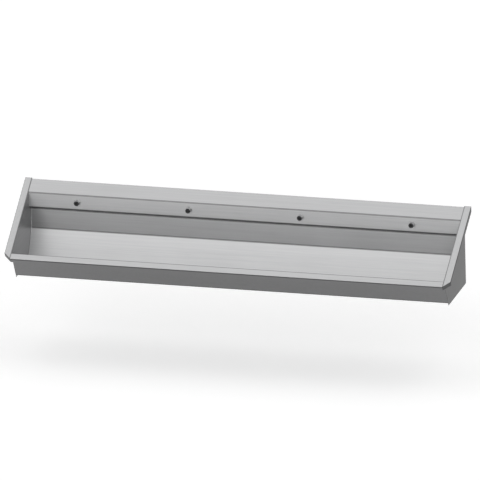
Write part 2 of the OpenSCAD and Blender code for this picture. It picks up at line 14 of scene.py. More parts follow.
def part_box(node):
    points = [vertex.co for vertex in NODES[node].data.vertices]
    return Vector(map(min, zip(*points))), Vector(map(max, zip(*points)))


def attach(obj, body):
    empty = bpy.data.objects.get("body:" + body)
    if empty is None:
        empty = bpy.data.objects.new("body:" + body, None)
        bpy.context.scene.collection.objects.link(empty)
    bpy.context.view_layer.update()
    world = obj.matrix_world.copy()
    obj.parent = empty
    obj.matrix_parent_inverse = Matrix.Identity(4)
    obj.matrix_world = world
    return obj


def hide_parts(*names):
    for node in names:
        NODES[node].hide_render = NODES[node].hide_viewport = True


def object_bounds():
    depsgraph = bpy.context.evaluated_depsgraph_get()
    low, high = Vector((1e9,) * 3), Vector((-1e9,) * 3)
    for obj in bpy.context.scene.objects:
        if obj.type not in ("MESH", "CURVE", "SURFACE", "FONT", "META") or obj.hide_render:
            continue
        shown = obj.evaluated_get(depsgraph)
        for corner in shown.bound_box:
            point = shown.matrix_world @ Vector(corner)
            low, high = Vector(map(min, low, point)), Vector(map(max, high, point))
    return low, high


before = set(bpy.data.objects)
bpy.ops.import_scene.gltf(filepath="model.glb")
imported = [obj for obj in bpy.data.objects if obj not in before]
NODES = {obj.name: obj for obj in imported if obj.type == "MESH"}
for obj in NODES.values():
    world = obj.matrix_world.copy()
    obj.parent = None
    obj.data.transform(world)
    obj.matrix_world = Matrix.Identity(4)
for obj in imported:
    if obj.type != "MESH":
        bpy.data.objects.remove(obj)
CAD_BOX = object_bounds()

bl_info = {
    "name": "Wash trough looks",
    "version": (1, 0, 0),
    "blender": (4, 5, 0),
    "location": "3D View > Sidebar > Trough",
    "description": "Finishes, seams, threads and a plain studio for a steel wash trough",
    "category": "Object",
}

BODY = "root"
STATIONS = (1, 2, 3, 4)
RIGHT_ANGLE = math.pi / 2
SIXTH_TURN = math.pi / 3
FULL_TURN = 2 * math.pi
MM = 0.001

# The section's heights are counted from the foot. The flanges lie between inner and outer X
FOOT_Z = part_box("end_panel_left")[0].z
INNER_X, OUTER_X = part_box("bowl")[1].x, CAD_BOX[1].x

# Edges that turn less than this are shaded as one soft face
SOFT_ANGLE = math.radians(28)
SOFT_TURNED_ANGLE = math.radians(32)

# Facets round a turned piece, a small nut and a stud
ROUND_STEPS = 48
NUT_STEPS = 24
STUD_STEPS = 16


# ---- Settings ----


def property_kind(make, **options):
    """A function that makes one kind of property from a name, a description and a default."""

    def kind(name, description, default):
        return make(name=name, description=description, default=default, **options)

    return kind


length = property_kind(FloatProperty, min=0, precision=5, unit="LENGTH")
angle = property_kind(FloatProperty, subtype="ANGLE")
share = property_kind(FloatProperty, min=0, max=1, subtype="FACTOR")
colour = property_kind(FloatVectorProperty, min=0, max=1, size=3, subtype="COLOR")
pixels = property_kind(FloatProperty, subtype="PIXEL")


class TroughSheetSettings(bpy.types.PropertyGroup):
    """Finish of the folded sheets."""

    tint: colour("Steel", "Colour of the ground stainless sheet", (0.325, 0.326, 0.329))
    roughness: share("Roughness", "Roughness of the ground sheet", 0.38)
    grain_length: length("Grain length", "Length of a belt scratch", 0.09)
    grain_width: length("Grain width", "Width of a belt scratch", 0.0006)
    cloud_size: length("Cloud size", "Size of the faint patches left by wiping", 0.28)
    # Bend marks are dull press strips, made dark enough to be painted shade along the folds
    mark: length("Bend mark", "Width of the dull strip left by the press", 0.009)
    mark_painted_shade: share("Bend mark shade", "How much light a bend mark keeps", 0.48)
    # The mill sides' shades are painted shade on the faces that turn out and down, away from the
    # light
    bowl_back_painted_shade: share("Bowl's mill side", "Shade of the bowl's side that isn't ground", 0.62)
    end_back_painted_shade: share("End's mill side", "Shade of the end panels' side that isn't ground", 0.30)
    edge: length("Cut edge", "Rounding of the deburred sheet edges", 0.0003)
    seam: length("Seam", "Radius of the ground weld seams in the corners", 0.0025)


class TroughShapeSettings(bpy.types.PropertyGroup):
    """Driving sizes of the folded section, which the seams follow."""

    slope: angle("Slope", "Slope of the flanges and the rim", math.radians(30))
    inner_slope: angle("Inner slope", "Steepness of the inner slope", math.radians(60))
    slope_length: length("Slope length", "From the wall to the outer edge of the rim", 0.5625)
    top: length("Top", "Height of the sloping plane at the wall, from the foot", 0.425)
    back_gap: length("Back gap", "Depth of the upright back", 0.039)
    back_foot: length("Back foot", "Height of the fold under the upright back", 0.164)
    bottom: length("Bottom", "Height of the flat bottom", 0.015)
    panel_gap: length("Panel gap", "Depth of the tap panel's face", 0.084)
    panel_height: length("Panel height", "Height of the tap panel's face", 0.080)
    panel_top: length("Panel top", "Height of the tap panel's upper fold", 0.373503)
    return_drop: length("Return drop", "Fall of the return under the panel", 0.022)
    sheet: length("Sheet", "Thickness of the sheet", 0.0015)


class TroughFittingSettings(bpy.types.PropertyGroup):
    """Colours and small sizes of the fittings."""

    polished: colour("Polished steel", "Turned and polished steel", (0.60, 0.60, 0.61))
    mill: colour("Mill steel", "Steel with its mill finish", (0.46, 0.46, 0.465))
    zinc: colour("Zinc", "Zinc plating", (0.50, 0.52, 0.55))
    brass: colour("Brass", "Machined brass", (0.62, 0.47, 0.22))
    rubber: colour("Rubber", "Seals and gaskets", (0.030, 0.030, 0.032))
    fibre: colour("Fibre", "Pressed fibre washers", (0.30, 0.085, 0.05))
    plastic: colour("Plastic", "Black moulded plastic", (0.022, 0.022, 0.024))
    bitumen: colour("Bitumen", "Damping pads", (0.055, 0.054, 0.052))
    supply_pitch: length("Supply pitch", "Pitch of the inlet thread", 0.001814)
    waste_pitch: length("Waste pitch", "Pitch of the waste's thread", 0.002309)
    stud_pitch: length("Stud pitch", "Pitch of the studs' thread", 0.0008)
    cell: length("Cell", "Width of a cell in the jet inserts", 0.0024)
    cell_wall: length("Cell wall", "Thickness of a wall in the jet inserts", 0.0004)


class TroughStageSettings(bpy.types.PropertyGroup):
    """Camera, floor and lamps."""

    azimuth: angle("Azimuth", "How far right of the front the view is", math.radians(14.844))
    elevation: angle("Elevation", "How far above the horizon the view is", math.radians(19.126))
    roll: angle("Roll", "Turn of the view about its own axis", math.radians(-1.207))
    frame_width: length("Frame width", "Width of the parallel view", 2.5)
    frame_pixels: pixels("Frame pixels", "Width of the photograph", 480)
    origin_x: pixels("Origin x", "The origin, from the picture's left", 249.05)
    origin_y: pixels("Origin y", "The origin, from the picture's top", 231.07)
    floor_tint: colour("Floor", "Plain pale floor", (0.92, 0.92, 0.92))
    floor_lift: share("Floor lift", "White added to the floor where the camera sees it", 0.33)
    floor_gap: length("Floor gap", "Room left under the lowest point", 0.35)
    floor_side: length("Floor side", "Side of the square floor", 60.0)
    ambient: share("Ambient", "Even light from all sides", 0.25)


class TroughSettings(bpy.types.PropertyGroup):
    """Everything that the trough's operators read."""

    sheets: PointerProperty(type=TroughSheetSettings)
    shape: PointerProperty(type=TroughShapeSettings)
    fittings: PointerProperty(type=TroughFittingSettings)
    stage: PointerProperty(type=TroughStageSettings)


# ---- Node trees ----


def arithmetic(operation, reflected=False):
    """The method of an operator, which adds its Math node."""

    def method(self, other):
        pair = (other, self) if reflected else (self, other)
        return self.graph.math(operation, *pair)

    return method


class Value:
    """A node's output that Python's arithmetic works on."""

    def __init__(self, graph, socket):
        self.graph = graph
        self.socket = socket

    __add__, __radd__ = arithmetic("ADD"), arithmetic("ADD", True)
    __sub__, __rsub__ = arithmetic("SUBTRACT"), arithmetic("SUBTRACT", True)
    __mul__, __rmul__ = arithmetic("MULTIPLY"), arithmetic("MULTIPLY", True)


def find_socket(sockets, name):
    """The socket in use that has this name, or this place in the list."""
    if isinstance(name, int):
        return sockets[name]
    return next(s for s in sockets if s.enabled and s.name == name)


class Graph:
    """A node tree being filled."""

    def __init__(self, tree):
        self.tree = tree
        tree.nodes.clear()

    def node(self, kind, sockets=None, **settings):
        """Adds a node, and returns a function that gives its outputs by name."""
        made = self.tree.nodes.new(kind)
        for name, value in settings.items():
            setattr(made, name, value)
        for name, value in (sockets or {}).items():
            socket = find_socket(made.inputs, name)
            if isinstance(value, Value):
                self.tree.links.new(value.socket, socket)
            else:
                socket.default_value = value
        return lambda name: Value(self, find_socket(made.outputs, name))

    def math(self, operation, a, b=0.0):
        return self.node("ShaderNodeMath", {0: a, 1: b}, operation=operation)("Value")

    def vector(self, operation, a, b, result="Value"):
        """Vector maths, whose result is called Value or Vector."""
        return self.node("ShaderNodeVectorMath", {0: a, 1: b}, operation=operation)(result)

    def blend(self, factor, a, b, kind="MIX"):
        """Colour a where the factor is 0, and colour b where it is 1."""
        sockets = {"Factor": factor, "A": rgba(a), "B": rgba(b)}
        return self.node("ShaderNodeMix", sockets, data_type="RGBA", blend_type=kind)("Result")

    def shades(self, factor, tint, low, high):
        """The colour, from low to high times as strong as the factor rises."""
        return self.blend(factor, scaled(tint, low), scaled(tint, high))

    def times(self, a, b):
        """The product of two colours."""
        return self.blend(1.0, a, b, "MULTIPLY")

    def ramp(self, value, low, high):
        """0 below low, 1 above high, and a smooth rise between."""
        sockets = {"Value": value, "From Min": low, "From Max": high}
        smooth = {"interpolation_type": "SMOOTHSTEP"}
        return self.node("ShaderNodeMapRange", sockets, **smooth)("Result")

    def axes(self, vector):
        """A function that gives the vector's X, Y or Z."""
        return self.node("ShaderNodeSeparateXYZ", {"Vector": vector})

    def joined(self, x, y):
        """The vector (x, y, 0)."""
        return self.node("ShaderNodeCombineXYZ", {"X": x, "Y": y})("Vector")

    def seen(self):
        """1 for what the camera sees, straight or in metal and glass, and 0 for its light."""
        path = self.node("ShaderNodeLightPath")
        mirrored = self.math("MAXIMUM", path("Is Glossy Ray"), path("Is Transmission Ray"))
        return self.math("MAXIMUM", path("Is Camera Ray"), mirrored)

    @cached_property
    def place(self):
        """A point of the surface, in metres."""
        return self.node("ShaderNodeTexCoord")("Object")

    @cached_property
    def normal(self):
        """Where the surface faces."""
        return self.node("ShaderNodeNewGeometry")("Normal")

    def noise(self, scale, detail=2, vector=None):
        """Soft noise, with this many cells in a metre."""
        sockets = {"Vector": vector or self.place, "Scale": scale, "Detail": detail}
        return self.node("ShaderNodeTexNoise", sockets)("Fac")

    def streaks(self, size, detail, turn=(0, 0, 0)):
        """Noise in cells of the given size, along axes that are turned."""
        sockets = {"Vector": self.place, "Rotation": turn, "Scale": size}
        cells = self.node("ShaderNodeMapping", sockets, vector_type="TEXTURE")("Vector")
        return self.noise(1, detail, cells)


def rgba(tint):
    """A colour with its alpha, or the link that carries one."""
    return tint if isinstance(tint, Value) else (*tint, 1.0)


def grey(level):
    return (level, level, level)


def scaled(tint, factor):
    """A colour made lighter or darker."""
    return tuple(min(1.0, c * factor) for c in tint)


def finish_material(graph, bump=None, **sockets):
    """Ends a material: the shader with its sockets, and a bump of (height, metres)."""
    values = {name.replace("_", " "): value for name, value in sockets.items()}
    if bump:
        height, distance = bump
        relief = {"Height": height, "Distance": distance, "Strength": 1.0}
        values["Normal"] = graph.node("ShaderNodeBump", relief)("Normal")
    shader = graph.node("ShaderNodeBsdfPrincipled", values)("BSDF")
    graph.node("ShaderNodeOutputMaterial", {"Surface": shader})


# ---- Section ----


def in_front(depth, height):
    """[y, z] of the point this far in front of the wall and above the foot."""
    return Vector((-depth, height + FOOT_Z))


def on_slope(shape, run, rise=0.0):
    """[y, z] of the point that is run down the slope and rise over it."""
    s = shape.slope
    return in_front(
        run * math.cos(s) + rise * math.sin(s),
        shape.top - run * math.sin(s) + rise * math.cos(s),
    )


def panel_section(shape):
    """The tap panel's visible faces as [y, z] points, from the upper fold to the bowl."""
    foot = shape.panel_top - shape.panel_height
    return [
        in_front(shape.panel_gap, shape.panel_top),
        in_front(shape.panel_gap, foot),
        in_front(shape.back_gap, foot - shape.return_drop),
    ]


def bowl_section(shape):
    """The bowl's inner faces as [y, z] points, from the return down and up to the rim."""
    rim_run = shape.slope_length - (OUTER_X - INNER_X)
    slope_foot = shape.back_gap + (shape.back_foot - shape.bottom) / math.tan(shape.inner_slope)
    rim = on_slope(shape, rim_run)
    wall_rise = (shape.bottom + FOOT_Z - rim.y) / math.cos(shape.slope)
    return [
        panel_section(shape)[-1],
        in_front(shape.back_gap, shape.back_foot),
        in_front(slope_foot, shape.bottom),
        on_slope(shape, rim_run, wall_rise),
        rim,
    ]


# ---- Finishes ----

# Towards the water, seen from the sheets that run along X. Faces turned away from it are the
# mill side, darkened as painted shade
WATER_SIDE = (0, -0.4, 1)


def bend_marks(graph, section, folds, width):
    """1 in the narrow dull strips along the folds, else 0: press marks, darkened enough to be
    painted shade.

    The section is the surface's point seen along the folds, and each fold is a point of it.
    """
    nearest = None
    for fold in folds:
        gap = graph.vector("DISTANCE", section, fold)
        nearest = gap if nearest is None else graph.math("MINIMUM", nearest, gap)
    return 1.0 - graph.ramp(nearest, width * 0.35, width * 0.65)


def marks_along(graph, settings):
    """Bend marks, partly painted shade, of the bowl and the tap panel, whose folds run along X.
    """
    shape, width = settings.shape, settings.sheets.mark
    panel = panel_section(shape)
    # The rim's mark lies on its turned-down lip, where its dark strip is painted shade
    rim_fold = on_slope(shape, shape.slope_length, -width * 0.6)
    wall_fold = Vector((0.0, panel[0].y + shape.panel_gap * math.tan(shape.slope)))
    folds = [*bowl_section(shape)[1:], rim_fold, *panel, wall_fold]
    section = graph.vector("MULTIPLY", graph.place, (0, 1, 1), "Vector")
    return bend_marks(graph, section, [(0, fold.x, fold.y) for fold in folds], width)


def marks_end(graph, settings):
    """Bend marks, partly painted shade, of the end panels: along both edges of the flange, and
    up the wall.
    """
    shape, width = settings.shape, settings.sheets.mark
    slope = Vector((0, -math.sin(shape.slope), math.cos(shape.slope)))
    lift = graph.vector("DOT_PRODUCT", graph.place, slope) - slope.z * on_slope(shape, 0.0).y
    axes = graph.axes(graph.place)
    aside = graph.math("ABSOLUTE", axes("X"))
    # The outer mark lies on the flange's lip, where its dark strip is painted shade
    flange_folds = [(INNER_X, 0, 0), (OUTER_X, -width * 0.6, 0)]
    flange = bend_marks(graph, graph.joined(aside, lift), flange_folds, width)
    upright = bend_marks(graph, graph.joined(aside, axes("Y")), [(INNER_X, 0, 0)], width)
    return graph.math("MAXIMUM", flange, upright)


def metal(graph, tint, roughness, bump):
    """Ends a bare metal's material."""
    finish_material(graph, bump, Base_Color=tint, Metallic=1.0, Roughness=roughness)


def ground_steel(graph, look, turn, fold, mill, painted_mill_shade):
    """Stainless sheet ground with a belt on one side, with the mill's finish on the other.

    The grain runs along X before it is turned. Fold is 1 in bend marks and mill is 1 on the mill
    side, and both are darkened there as painted shade.
    """
    size = (look.grain_length, look.grain_width, look.grain_width)
    band_size = (look.grain_length * 6, look.grain_width * 12, look.grain_width * 12)
    grain = graph.streaks(size, 3, turn)
    bands = graph.streaks(band_size, 2, turn)
    cloud = graph.noise(1 / look.cloud_size, 3)
    ground = 1.0 - mill
    streak = ((grain - 0.5) * 0.55 + (bands - 0.5) * 0.35) * (0.25 + ground * 0.75)
    tint = graph.shades(graph.ramp(streak, -0.22, 0.22), look.tint, 0.93, 1.07)
    # Painted shade: the bend marks darken the folds, and the mill side, which faces out and
    # down, is darkened by its shade setting
    press_mark_and_shade = graph.blend(fold, grey(1), grey(look.mark_painted_shade))
    painted_shade_level = graph.shades(graph.noise(60, 4), grey(painted_mill_shade), 0.94, 1.06)
    side = graph.blend(mill, grey(1), painted_shade_level)
    roughness = look.roughness + (grain - 0.5) * ground * 0.10 + (cloud - 0.5) * 0.06
    metal(
        graph,
        graph.times(graph.times(tint, press_mark_and_shade), side),
        roughness + fold * 0.08 + mill * 0.04,
        (grain * (0.1 + ground * 0.9), 4e-6),
    )


def steel_along(graph, settings):
    """The bowl's and the tap panel's sheet, with its grain along X."""
    fold = marks_along(graph, settings)
    # 1 on the mill side, which faces out and down; ground_steel darkens it there as painted
    # shade
    mill_side_and_shade = graph.math("LESS_THAN", graph.vector("DOT_PRODUCT", graph.normal, WATER_SIDE), 0.0)
    look = settings.sheets
    ground_steel(graph, look, (0, 0, 0), fold, mill_side_and_shade, look.bowl_back_painted_shade)


def steel_end(graph, settings):
    """The end panels' sheet, with its grain down the slope and its mill side out and down,
    darkened as painted shade.
    """
    fold = marks_end(graph, settings)
    facing = graph.axes(graph.normal)
    outward = facing("X") * graph.math("SIGN", graph.axes(graph.place)("X"))
    # 1 on the mill side, which faces outward and down; it is darkened there as painted shade
    mill_side_and_shade = graph.math("GREATER_THAN", outward, 0.5)
    mill_side_and_shade = graph.math("MAXIMUM", mill_side_and_shade, graph.math("LESS_THAN", facing("Z"), -0.2))
    look, turn = settings.sheets, (settings.shape.slope, 0, RIGHT_ANGLE)
    ground_steel(graph, look, turn, fold, mill_side_and_shade, look.end_back_painted_shade)


def seam_steel(graph, settings):
    """Weld seam, ground and brushed by hand: duller and darker than the sheet."""
    mottle = graph.noise(220, 4)
    pits = graph.noise(900)
    tint = graph.shades(mottle, settings.sheets.tint, 0.72, 0.90)
    metal(graph, tint, 0.44 + mottle * 0.12, (pits, 1.5e-5))


def mill_steel(graph, settings):
    """Drawn tube and plain sheet with the dull finish of the mill."""
    cloud = graph.noise(45, 4)
    speck = graph.noise(1400)
    tint = graph.shades(cloud, settings.fittings.mill, 0.86, 1.10)
    metal(graph, tint, 0.34 + cloud * 0.12 + (speck - 0.5) * 0.06, (speck, 6e-6))


def polished_steel(graph, settings):
    """Turned and polished steel, with fine wiping scratches."""
    scratch = graph.streaks((12 * MM, 0.4 * MM, 0.4 * MM), 2)
    film = graph.noise(160, 3)
    tint = graph.shades(film, settings.fittings.polished, 0.92, 1.05)
    metal(graph, tint, 0.12 + scratch * 0.10 + film * 0.08, (scratch, 2e-6))


def turned_steel(graph, settings):
    """The outlets' steel: fine rings from the lathe, rubbed to the same satin as the sheet."""
    rings = graph.streaks((50 * MM, 0.4 * MM, 50 * MM), 2)
    film = graph.noise(120, 3)
    tint = graph.shades(rings, settings.sheets.tint, 0.76, 0.98)
    metal(graph, tint, 0.30 + rings * 0.08 + (film - 0.5) * 0.10, (rings, 3e-6))


def zinc_plating(graph, settings):
    """Plated steel: bluish, with crystal patches, and white bloom here and there."""
    sockets = {"Vector": graph.place, "Scale": 130}
    crystals = graph.node("ShaderNodeTexVoronoi", sockets, feature="F1")("Color")
    patch = graph.node("ShaderNodeSeparateColor", {"Color": crystals})("Red")
    bloom = graph.ramp(graph.noise(28, 5), 0.56, 0.72)
    coat = graph.shades(patch, settings.fittings.zinc, 0.86, 1.12)
    finish_material(
        graph,
        (graph.noise(700), 8e-6),
        Base_Color=graph.blend(bloom * 0.35, coat, (0.62, 0.63, 0.64)),
        Metallic=1.0 - bloom * 0.35,
        Roughness=0.36 + patch * 0.14 + bloom * 0.16,
    )


def machined_brass(graph, settings):
    """Turned brass, dulled by handling and darker in patches."""
    fresh = settings.fittings.brass
    dark = (fresh[0] * 0.62, fresh[1] * 0.55, fresh[2] * 0.5)
    tarnish = graph.ramp(graph.noise(95, 4), 0.45, 0.75)
    tool = graph.streaks((20 * MM, 0.3 * MM, 20 * MM), 1)
    tint = graph.blend(tarnish, fresh, dark)
    metal(graph, tint, 0.24 + tarnish * 0.18 + (tool - 0.5) * 0.08, (tool, 4e-6))


def moulded(graph, settings, tint, roughness, grain, depth):
    """Rubber or plastic with a fine moulded grain, and dust on what faces up."""
    pores = graph.noise(grain, 3)
    cloud = graph.noise(60, 3)
    up = graph.axes(graph.normal)("Z")
    dust = graph.ramp(up, 0.4, 1.0) * graph.ramp(cloud, 0.35, 0.75) * 0.12
    body = graph.shades(cloud, getattr(settings.fittings, tint), 0.82, 1.22)
    finish_material(
        graph,
        (pores, depth),
        Base_Color=graph.blend(dust, body, (0.30, 0.29, 0.27)),
        Roughness=roughness + (pores - 0.5) * 0.16,
        IOR=1.5,
    )


def embossed_bitumen(graph, settings):
    """Bitumen sheet with the small lozenges of its pressing roller and a dull skin."""
    lozenge_size = 6 * MM
    axes, turn = graph.axes(graph.place), FULL_TURN / lozenge_size
    rise = graph.math("SINE", (axes("X") + axes("Y")) * turn)
    fall = graph.math("SINE", (axes("X") - axes("Y")) * turn)
    lozenge = graph.ramp(rise * fall, -0.2, 0.5)
    grit = graph.noise(900, 3)
    cloud = graph.noise(35, 4)
    finish_material(
        graph,
        (lozenge * 0.8 + grit * 0.2, 4e-4),
        Base_Color=graph.shades(cloud, settings.fittings.bitumen, 0.75, 1.35),
        Roughness=0.62 + grit * 0.20,
        IOR=1.5,
    )


def pale_floor(graph, settings):
    """Plain floor, lifted to white where the camera sees it."""
    look = settings.stage
    finish_material(
        graph,
        Base_Color=rgba(look.floor_tint),
        Roughness=1.0,
        Specular_IOR_Level=0.0,
        Emission_Color=graph.blend(graph.seen(), grey(0), grey(look.floor_lift)),
        Emission_Strength=1.0,
    )


# Each finish: the slot it fills, the function that makes its nodes, and what else that is told
FINISHES = {
    "steel_along": ("stainless_brushed", steel_along),
    "steel_end": ("stainless_brushed", steel_end),
    "seam_steel": ("stainless_brushed", seam_steel),
    "mill_steel": ("stainless_plain", mill_steel),
    "polished_steel": ("stainless_polished", polished_steel),
    "turned_steel": ("stainless_polished", turned_steel),
    "zinc_plating": ("zinc_plated", zinc_plating),
    "machined_brass": ("brass", machined_brass),
    "embossed_bitumen": ("damping_pad", embossed_bitumen),
    "rubber": ("rubber", moulded, "rubber", 0.62, 1500, 1e-5),
    "fibre": ("fibre", moulded, "fibre", 0.78, 2600, 2e-5),
    "plastic": ("black_plastic", moulded, "plastic", 0.42, 2000, 8e-6),
    "pale_floor": (None, pale_floor),
}


def finish(context, name):
    """The finish with this name, made at its first use."""
    material = bpy.data.materials.get(name)
    if not material:
        material = bpy.data.materials.new(name)
        material.use_nodes = True
        _slot, make, *told = FINISHES[name]
        make(Graph(material.node_tree), context.scene.trough, *told)
    return material


# ---- Meshes ----


def shading_tree():
    """Joins the triangles of a carried-over mesh and rounds its shading over soft angles."""
    known = bpy.data.node_groups.get("joined_shading")
    if known:
        return known
    tree = bpy.data.node_groups.new("joined_shading", "GeometryNodeTree")
    for way in ("INPUT", "OUTPUT"):
        tree.interface.new_socket("Geometry", in_out=way, socket_type="NodeSocketGeometry")
    graph = Graph(tree)
    bend = graph.node("GeometryNodeInputMeshEdgeAngle")("Unsigned Angle")
    angles = {"A": bend, "B": SOFT_ANGLE}
    soft = graph.node("FunctionNodeCompare", angles, operation="LESS_THAN")("Result")
    shape = graph.node("NodeGroupInput")("Geometry")
    for kind, sockets, settings in (
        ("GeometryNodeMergeByDistance", {"Distance": 1e-6}, {}),
        ("GeometryNodeRemoveAttribute", {"Name": "custom_normal"}, {}),
        ("GeometryNodeSetShadeSmooth", {"Shade Smooth": True}, {"domain": "FACE"}),
        ("GeometryNodeSetShadeSmooth", {"Shade Smooth": soft}, {"domain": "EDGE"}),
    ):
        shape = graph.node(kind, {"Geometry": shape, **sockets}, **settings)("Geometry")
    graph.node("NodeGroupOutput", {"Geometry": shape})
    return tree


def modify(piece, name, kind, **values):
    """Adds a modifier with these values."""
    modifier = piece.modifiers.new(name, kind)
    for key, value in values.items():
        setattr(modifier, key, value)


def dress(context, finish_name, edge, *nodes):
    """Gives carried-over nodes their finish, their shading and, unless 0, rounded edges."""
    material = finish(context, finish_name)
    flat, sharp = math.radians(0.5), math.radians(40)
    for node in nodes:
        piece = NODES[node]
        for slot in piece.material_slots:
            slot.material = material
        modify(piece, "joined", "NODES", node_group=shading_tree())
        if edge:
            modify(piece, "flat", "DECIMATE", decimate_type="DISSOLVE", angle_limit=flat)
            corners = {"limit_method": "ANGLE", "angle_limit": sharp}
            modify(piece, "rounded", "BEVEL", width=edge, segments=2, **corners)
        modify(piece, "parted", "EDGE_SPLIT", split_angle=SOFT_ANGLE)
        modify(piece, "level", "WEIGHTED_NORMAL", keep_sharp=True)


def numbered(name):
    """The names of the four like nodes, one at each station."""
    return [f"{name}_{k}" for k in STATIONS]


def add_object(context, name, data):
    """Links a new object to the scene."""
    made = bpy.data.objects.new(name, data)
    context.scene.collection.objects.link(made)
    return made


def add_piece(context, name, finish_name, mesh, *replaces):
    """Puts a finished mesh in the scene as a piece, in the place of the nodes it replaces."""
    data = bpy.data.meshes.new(name)
    bmesh.ops.remove_doubles(mesh, verts=mesh.verts, dist=1e-7)
    bmesh.ops.recalc_face_normals(mesh, faces=mesh.faces)
    for edge in mesh.edges:
        edge.smooth = len(edge.link_faces) == 2 and edge.calc_face_angle(0) < SOFT_TURNED_ANGLE
    for face in mesh.faces:
        face.smooth = True
    mesh.to_mesh(data)
    mesh.free()
    data.materials.append(finish(context, finish_name))
    piece = add_object(context, name, data)
    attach(piece, BODY)
    if replaces:
        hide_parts(*replaces)


# A turned piece is a list of rings. A ring is its radius and height, or a function of the turn
# round the axis that gives both.


def hexagon_ring(flats, height, side=0):
    """A ring on a hexagon bar. The chamfer lowers (side 1) or raises (side -1) its corners."""

    def at(turn):
        aside = (turn + SIXTH_TURN / 2) % SIXTH_TURN - SIXTH_TURN / 2
        radius = flats / 2 / math.cos(aside)
        drop = max(0.0, radius - flats / 2 * 1.02) * math.tan(math.radians(30))
        return radius, height - side * drop

    return at


def hexagon(flats, back, front, chamfer, face=0.96):
    """Rings of a hexagon chamfered at both ends, whose round faces are a share of its flats."""
    return [
        (flats / 2 * face, back),
        hexagon_ring(flats, back + chamfer, -1),
        hexagon_ring(flats, front - chamfer, 1),
        (flats / 2 * face, front),
    ]


def plain_nut(radius, flats, back, front, chamfer):
    """Rings of a hexagon nut on a thread of the given radius."""
    return [(radius, back), *hexagon(flats, back, front, chamfer), (radius, front)]


def thread_ring(height, crest, pitch, depth):
    """A ring on a screw thread, where the radius follows the turning flank."""

    def at(turn):
        phase = (height / pitch - turn / FULL_TURN) % 1.0
        flank = min(1.0, abs(phase - 0.5) * 2.6)
        return crest - depth * flank, height

    return at


def thread_rings(crest, foot, head, pitch):
    """Rings along a thread from foot to head, which runs out at both ends."""
    rings_a_pitch, run_out = 6, 5
    count = max(6, round((head - foot) / pitch * rings_a_pitch))
    depth = 0.61 * pitch
    rings = []
    for k in range(count + 1):
        cut = min(1.0, min(k, count - k) / run_out)
        top = crest - depth * (1 - cut) * 0.9
        rings.append(thread_ring(foot + (head - foot) * k / count, top, pitch, depth * cut))
    return rings


def skin(mesh, rows, closed):
    """Adds the faces between rows of vertices.

    A closed skin runs on from the last row to the first, and an open one has two end faces.
    """
    for low, high in zip(rows, rows[1:] + rows[:1] if closed else rows[1:]):
        for k in range(len(low)):
            n = (k + 1) % len(low)
            mesh.faces.new((low[k], low[n], high[n], high[k]))
    if not closed:
        mesh.faces.new(rows[0])
        mesh.faces.new(rows[-1])


def turns(steps):
    """The angles of a round piece's corners."""
    return [FULL_TURN * k / steps for k in range(steps)]


def circle_points(radius, steps):
    return [(radius * math.cos(turn), radius * math.sin(turn)) for turn in turns(steps)]


def turned(mesh, rings, placing, steps=ROUND_STEPS, closed=True):
    """Adds a piece turned about local Z."""
    rows = []
    for ring in rings:
        row = []
        for turn in turns(steps):
            radius, height = ring(turn) if callable(ring) else ring
            point = Vector((radius * math.cos(turn), radius * math.sin(turn), height))
            row.append(mesh.verts.new(placing @ point))
        rows.append(row)
    skin(mesh, rows, closed)


def swept(mesh, path, closed):
    """Adds a solid whose path gives a centre, a pair of axes and a section of [a, b] points."""
    rows = [
        [mesh.verts.new(centre + across * a + up * b) for a, b in section]
        for centre, across, up, section in path
    ]
    skin(mesh, rows, closed)


def block(mesh, low, high, placing):
    """Adds a box between two corners."""
    low, high = Vector(low), Vector(high)
    middle = Matrix.Translation((low + high) / 2) @ Matrix.Diagonal((*(high - low), 1))
    bmesh.ops.create_cube(mesh, size=1, matrix=placing @ middle)


def centre_of(node):
    low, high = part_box(node)
    return (low + high) / 2


def size_of(node):
    low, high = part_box(node)
    return high - low


def before_wall(node):
    """How far in front of the wall a node begins and ends."""
    low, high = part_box(node)
    return -high.y, -low.y


def towards_user(node, aside=0.0):
    """Placing of a turned piece on a node's axis, which runs from the wall to the user."""
    middle = centre_of(node)
    along = Matrix.Rotation(RIGHT_ANGLE, 4, "X")
    return Matrix.Translation((middle.x + aside, 0, middle.z)) @ along


def upwards(node):
    """Placing of a turned piece on a node's axis, which runs up from its foot."""
    middle = centre_of(node)
    return Matrix.Translation((middle.x, middle.y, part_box(node)[0].z))


# ---- Pieces ----


class TROUGH_OT_sheets(bpy.types.Operator):
    """Finish the four folded sheets: bowl, tap panel and both end panels"""

    bl_idname = "trough.sheets"
    bl_label = "Sheets"

    def execute(self, context):
        edge = context.scene.trough.sheets.edge
        dress(context, "steel_along", edge, "bowl", "tap_panel")
        dress(context, "steel_end", edge, "end_panel_left", "end_panel_right")
        return {"FINISHED"}


def seam_along(mesh, points, x, side, radius, sink):
    """Adds a hollow-faced weld seam between an end panel at x and the faces along the points."""
    steps = 5
    section = [(-sink, -sink), (radius, -sink)]
    for k in range(steps + 1):
        turn = RIGHT_ANGLE * k / steps
        section.append((radius * (1 - math.sin(turn)), radius * (1 - math.cos(turn))))
    section.append((-sink, radius))
    runs = [(b - a).normalized() for a, b in zip(points, points[1:])]
    path = []
    for point, before, after in zip(points, [runs[0], *runs], [*runs, runs[-1]]):
        inward = Vector((before.y + after.y, -before.x - after.x)).normalized()
        stretch = 1 / inward.dot(Vector((after.y, -after.x)))
        up = Vector((0, inward.x, inward.y)) * stretch
        path.append((Vector((x, point.x, point.y)), Vector((-side, 0, 0)), up, section))
    swept(mesh, path, closed=False)


def short_of(end, before, gap):
    """The point on the way from before to end that stops short of the end by a gap."""
    return end + (before - end).normalized() * gap


